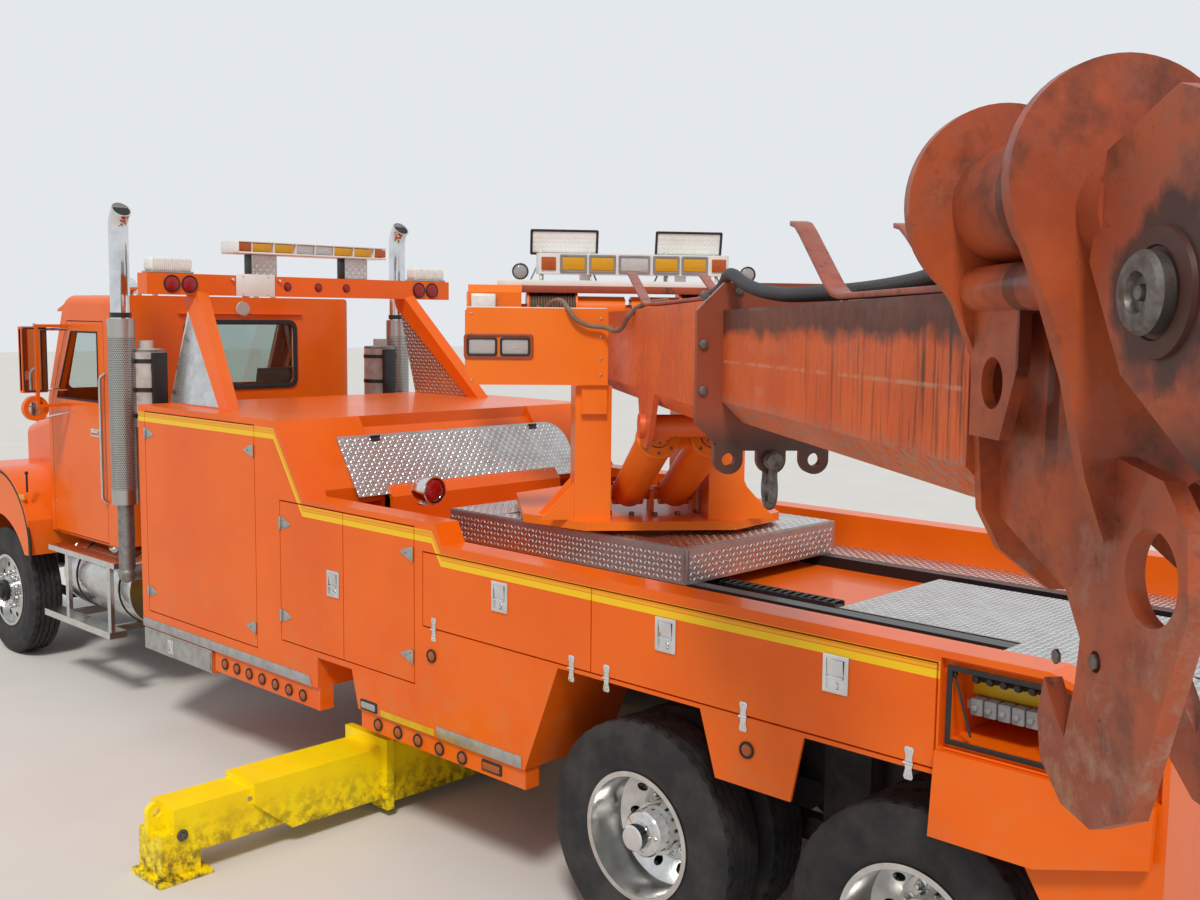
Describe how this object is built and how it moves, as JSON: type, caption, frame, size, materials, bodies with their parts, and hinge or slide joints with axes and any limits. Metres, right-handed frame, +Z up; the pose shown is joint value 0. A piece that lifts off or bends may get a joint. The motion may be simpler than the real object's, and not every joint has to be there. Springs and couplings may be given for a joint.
{
  "type": "heavy rotator tow truck",
  "caption": "Heavy recovery truck: day cab, tandem rear axles, stepped tool bodies and a turret crane boom on a sliding carriage, turned to the left rear, with outriggers set down.",
  "frame": {"origin": "on the ground, on the centre line, below the first drive axle", "axes": "+X towards the front of the truck, +Y to its left, +Z up"},
  "size_m": [11.533, 6.2935, 3.5839],
  "materials": {
    "tyre_rubber": "matt tread and satin side wall",
    "polished_aluminium": "polished",
    "orange_paint": "gloss, sun faded",
    "boom_paint": "worn, with rust and scratches",
    "yellow_paint": "gloss",
    "black_steel": "satin",
    "tread_plate": "bright rolled tread plate",
    "chrome": "mirror bright",
    "glass": "tinted",
    "trim_grey": "grained",
    "rack_white": "satin",
    "wire_rope": "oiled and dusty"
  },
  "bodies": {
    "chassis": {"chassis_frame": "black_steel", "front_axle": "black_steel", "rear_axles": "black_steel", "engine_and_driveline": "black_steel", "front_bumper": "chrome", "fuel_tanks": "polished_aluminium", "cab_shell": "orange_paint", "cab_glass": "glass", "cab_interior": "trim_grey", "body_left": "orange_paint", "body_right": "orange_paint", "deck": "tread_plate", "exhaust_stacks": "chrome", "light_pylon": "orange_paint", "beacons": "rack_white"},
    "hood": {"hood": "orange_paint", "grille_and_headlamps": "chrome"},
    "knuckle_left": {"knuckle_left": "black_steel"},
    "front_wheel_left": {"front_tyre_left": "tyre_rubber", "front_rim_left": "polished_aluminium"},
    "first_drive_wheels_left": {"first_drive_tyres_left": "tyre_rubber", "first_drive_rims_left": "polished_aluminium"},
    "second_drive_wheels_left": {"second_drive_tyres_left": "tyre_rubber", "second_drive_rims_left": "polished_aluminium"},
    "cab_door_left": {"cab_door_left": "orange_paint"},
    "tall_door_left": {"tall_door_left": "orange_paint"},
    "mid_door_front_left": {"mid_door_front_left": "orange_paint"},
    "mid_door_rear_left": {"mid_door_rear_left": "orange_paint"},
    "low_door_front_left": {"low_door_front_left": "orange_paint"},
    "low_door_rear_left": {"low_door_rear_left": "orange_paint"},
    "control_door_left": {"control_door_left": "orange_paint"},
    "knuckle_right": {"knuckle_right": "black_steel"},
    "front_wheel_right": {"front_tyre_right": "tyre_rubber", "front_rim_right": "polished_aluminium"},
    "first_drive_wheels_right": {"first_drive_tyres_right": "tyre_rubber", "first_drive_rims_right": "polished_aluminium"},
    "second_drive_wheels_right": {"second_drive_tyres_right": "tyre_rubber", "second_drive_rims_right": "polished_aluminium"},
    "cab_door_right": {"cab_door_right": "orange_paint"},
    "tall_door_right": {"tall_door_right": "orange_paint"},
    "mid_door_front_right": {"mid_door_front_right": "orange_paint"},
    "mid_door_rear_right": {"mid_door_rear_right": "orange_paint"},
    "low_door_front_right": {"low_door_front_right": "orange_paint"},
    "low_door_rear_right": {"low_door_rear_right": "orange_paint"},
    "control_door_right": {"control_door_right": "orange_paint"},
    "carriage": {"carriage": "tread_plate"},
    "turret": {"turret": "orange_paint", "light_panels": "orange_paint", "winches": "wire_rope", "top_rack": "rack_white"},
    "boom_base": {"boom_base": "boom_paint"},
    "boom_inner": {"boom_inner": "boom_paint", "sheave_heads": "black_steel"},
    "lift_barrels": {"lift_barrels": "orange_paint"},
    "lift_rods": {"lift_rods": "chrome"},
    "outrigger_frame": {"outrigger_frame": "yellow_paint"},
    "outrigger_stage_left": {"outrigger_stage_left": "yellow_paint"},
    "outrigger_foot_left": {"outrigger_foot_left": "yellow_paint"},
    "outrigger_stage_right": {"outrigger_stage_right": "yellow_paint"},
    "outrigger_foot_right": {"outrigger_foot_right": "yellow_paint"}
  },
  "joints": [
    {"name": "hood_tilt", "type": "hinge", "parent": "chassis", "child": "hood", "pos_m": [7.93015, 0, 1], "axis": [0, 1, 0], "range_deg": [0, 70]},
    {"name": "steering_left", "type": "hinge", "parent": "chassis", "child": "knuckle_left", "pos_m": [7.08, 0.86, 0.525], "axis": [0, 0, 1], "range_deg": [-35, 35]},
    {"name": "front_wheel_spin_left", "type": "hinge", "parent": "knuckle_left", "child": "front_wheel_left", "pos_m": [7.08, 1.035, 0.525], "axis": [0, 1, 0], "continuous": true},
    {"name": "first_drive_spin_left", "type": "hinge", "parent": "chassis", "child": "first_drive_wheels_left", "pos_m": [0, 0.92, 0.525], "axis": [0, 1, 0], "continuous": true},
    {"name": "second_drive_spin_left", "type": "hinge", "parent": "chassis", "child": "second_drive_wheels_left", "pos_m": [-1.37, 0.92, 0.525], "axis": [0, 1, 0], "continuous": true},
    {"name": "cab_door_swing_left", "type": "hinge", "parent": "chassis", "child": "cab_door_left", "pos_m": [6.41, 1.02, 1.9], "axis": [0, 0, -1], "range_deg": [0, 70]},
    {"name": "tall_door_swing_left", "type": "hinge", "parent": "chassis", "child": "tall_door_left", "pos_m": [4.355, 1.285, 1.51], "axis": [0, 0, -1], "range_deg": [0, 90]},
    {"name": "mid_door_front_swing_left", "type": "hinge", "parent": "chassis", "child": "mid_door_front_left", "pos_m": [2.735, 1.285, 1.35], "axis": [0, 0, -1], "range_deg": [0, 90]},
    {"name": "mid_door_rear_swing_left", "type": "hinge", "parent": "chassis", "child": "mid_door_rear_left", "pos_m": [1.488, 1.285, 1.35], "axis": [0, 0, 1], "range_deg": [0, 90]},
    {"name": "low_door_front_drop_left", "type": "hinge", "parent": "chassis", "child": "low_door_front_left", "pos_m": [0.812, 1.285, 1.26], "axis": [-1, 0, 0], "range_deg": [0, 90]},
    {"name": "low_door_rear_drop_left", "type": "hinge", "parent": "chassis", "child": "low_door_rear_left", "pos_m": [-0.647, 1.285, 1.26], "axis": [-1, 0, 0], "range_deg": [0, 90]},
    {"name": "steering_right", "type": "hinge", "parent": "chassis", "child": "knuckle_right", "pos_m": [7.08, -0.86, 0.525], "axis": [0, 0, 1], "range_deg": [-35, 35]},
    {"name": "front_wheel_spin_right", "type": "hinge", "parent": "knuckle_right", "child": "front_wheel_right", "pos_m": [7.08, -1.035, 0.525], "axis": [0, 1, 0], "continuous": true},
    {"name": "first_drive_spin_right", "type": "hinge", "parent": "chassis", "child": "first_drive_wheels_right", "pos_m": [0, -0.92, 0.525], "axis": [0, 1, 0], "continuous": true},
    {"name": "second_drive_spin_right", "type": "hinge", "parent": "chassis", "child": "second_drive_wheels_right", "pos_m": [-1.37, -0.92, 0.525], "axis": [0, 1, 0], "continuous": true},
    {"name": "cab_door_swing_right", "type": "hinge", "parent": "chassis", "child": "cab_door_right", "pos_m": [6.41, -1.02, 1.9], "axis": [0, 0, 1], "range_deg": [0, 70]},
    {"name": "tall_door_swing_right", "type": "hinge", "parent": "chassis", "child": "tall_door_right", "pos_m": [4.355, -1.285, 1.51], "axis": [0, 0, 1], "range_deg": [0, 90]},
    {"name": "mid_door_front_swing_right", "type": "hinge", "parent": "chassis", "child": "mid_door_front_right", "pos_m": [2.735, -1.285, 1.35], "axis": [0, 0, 1], "range_deg": [0, 90]},
    {"name": "mid_door_rear_swing_right", "type": "hinge", "parent": "chassis", "child": "mid_door_rear_right", "pos_m": [1.488, -1.285, 1.35], "axis": [0, 0, -1], "range_deg": [0, 90]},
    {"name": "low_door_front_drop_right", "type": "hinge", "parent": "chassis", "child": "low_door_front_right", "pos_m": [0.812, -1.285, 1.26], "axis": [1, 0, 0], "range_deg": [0, 90]},
    {"name": "low_door_rear_drop_right", "type": "hinge", "parent": "chassis", "child": "low_door_rear_right", "pos_m": [-0.647, -1.285, 1.26], "axis": [1, 0, 0], "range_deg": [0, 90]},
    {"name": "control_door_drop_left", "type": "hinge", "parent": "chassis", "child": "control_door_left", "pos_m": [-1.9075, 1.29, 1.344], "axis": [-1, 0, 0], "range_deg": [-175, 0]},
    {"name": "control_door_drop_right", "type": "hinge", "parent": "chassis", "child": "control_door_right", "pos_m": [-1.9075, -1.29, 1.344], "axis": [1, 0, 0], "range_deg": [0, 175]},
    {"name": "carriage_slide", "type": "slide", "parent": "chassis", "child": "carriage", "axis": [1, 0, 0], "range_m": [-1.2, 0]},
    {"name": "turret_swing", "type": "hinge", "parent": "carriage", "child": "turret", "pos_m": [1.06, 0, 1.738], "axis": [0, 0, 1], "range_deg": [-110, 190]},
    {"name": "boom_lift", "type": "hinge", "parent": "turret", "child": "boom_base", "pos_m": [1.40472, -0.28925, 2.7], "axis": [0.6428, 0.766, 0], "range_deg": [-2, 45]},
    {"name": "boom_extend", "type": "slide", "parent": "boom_base", "child": "boom_inner", "axis": [-0.766, 0.6427, 0.0145], "range_m": [-1.9, 0.5]},
    {"name": "lift_barrel_pivot", "type": "hinge", "parent": "turret", "child": "lift_barrels", "pos_m": [0.83019, 0.19284, 1.908], "axis": [0.6428, 0.766, 0], "range_deg": [-2.3, 47]},
    {"name": "lift_rod_slide", "type": "slide", "parent": "lift_barrels", "child": "lift_rods", "axis": [-0.7139, 0.599, 0.3627], "range_m": [-0.04, 0.85]},
    {"name": "outrigger_raise", "type": "slide", "parent": "chassis", "child": "outrigger_frame", "axis": [0, 0, 1], "range_m": [0, 0.24]},
    {"name": "outrigger_stage_slide_left", "type": "slide", "parent": "outrigger_frame", "child": "outrigger_stage_left", "axis": [0, 1, 0], "range_m": [-0.65, 0.15]},
    {"name": "outrigger_foot_slide_left", "type": "slide", "parent": "outrigger_stage_left", "child": "outrigger_foot_left", "axis": [0, 1, 0], "range_m": [-0.26, 0.35]},
    {"name": "outrigger_stage_slide_right", "type": "slide", "parent": "outrigger_frame", "child": "outrigger_stage_right", "axis": [0, -1, 0], "range_m": [-0.65, 0.15]},
    {"name": "outrigger_foot_slide_right", "type": "slide", "parent": "outrigger_stage_right", "child": "outrigger_foot_right", "axis": [0, -1, 0], "range_m": [-0.26, 0.35]}
  ],
  "couplings": [
    {"joint": "steering_right", "follows": "steering_left", "ratio": 1},
    {"joint": "lift_barrel_pivot", "follows": "boom_lift", "ratio": 1},
    {"joint": "lift_rod_slide", "follows": "boom_lift", "m_per_rad": 1.0313}
  ]
}
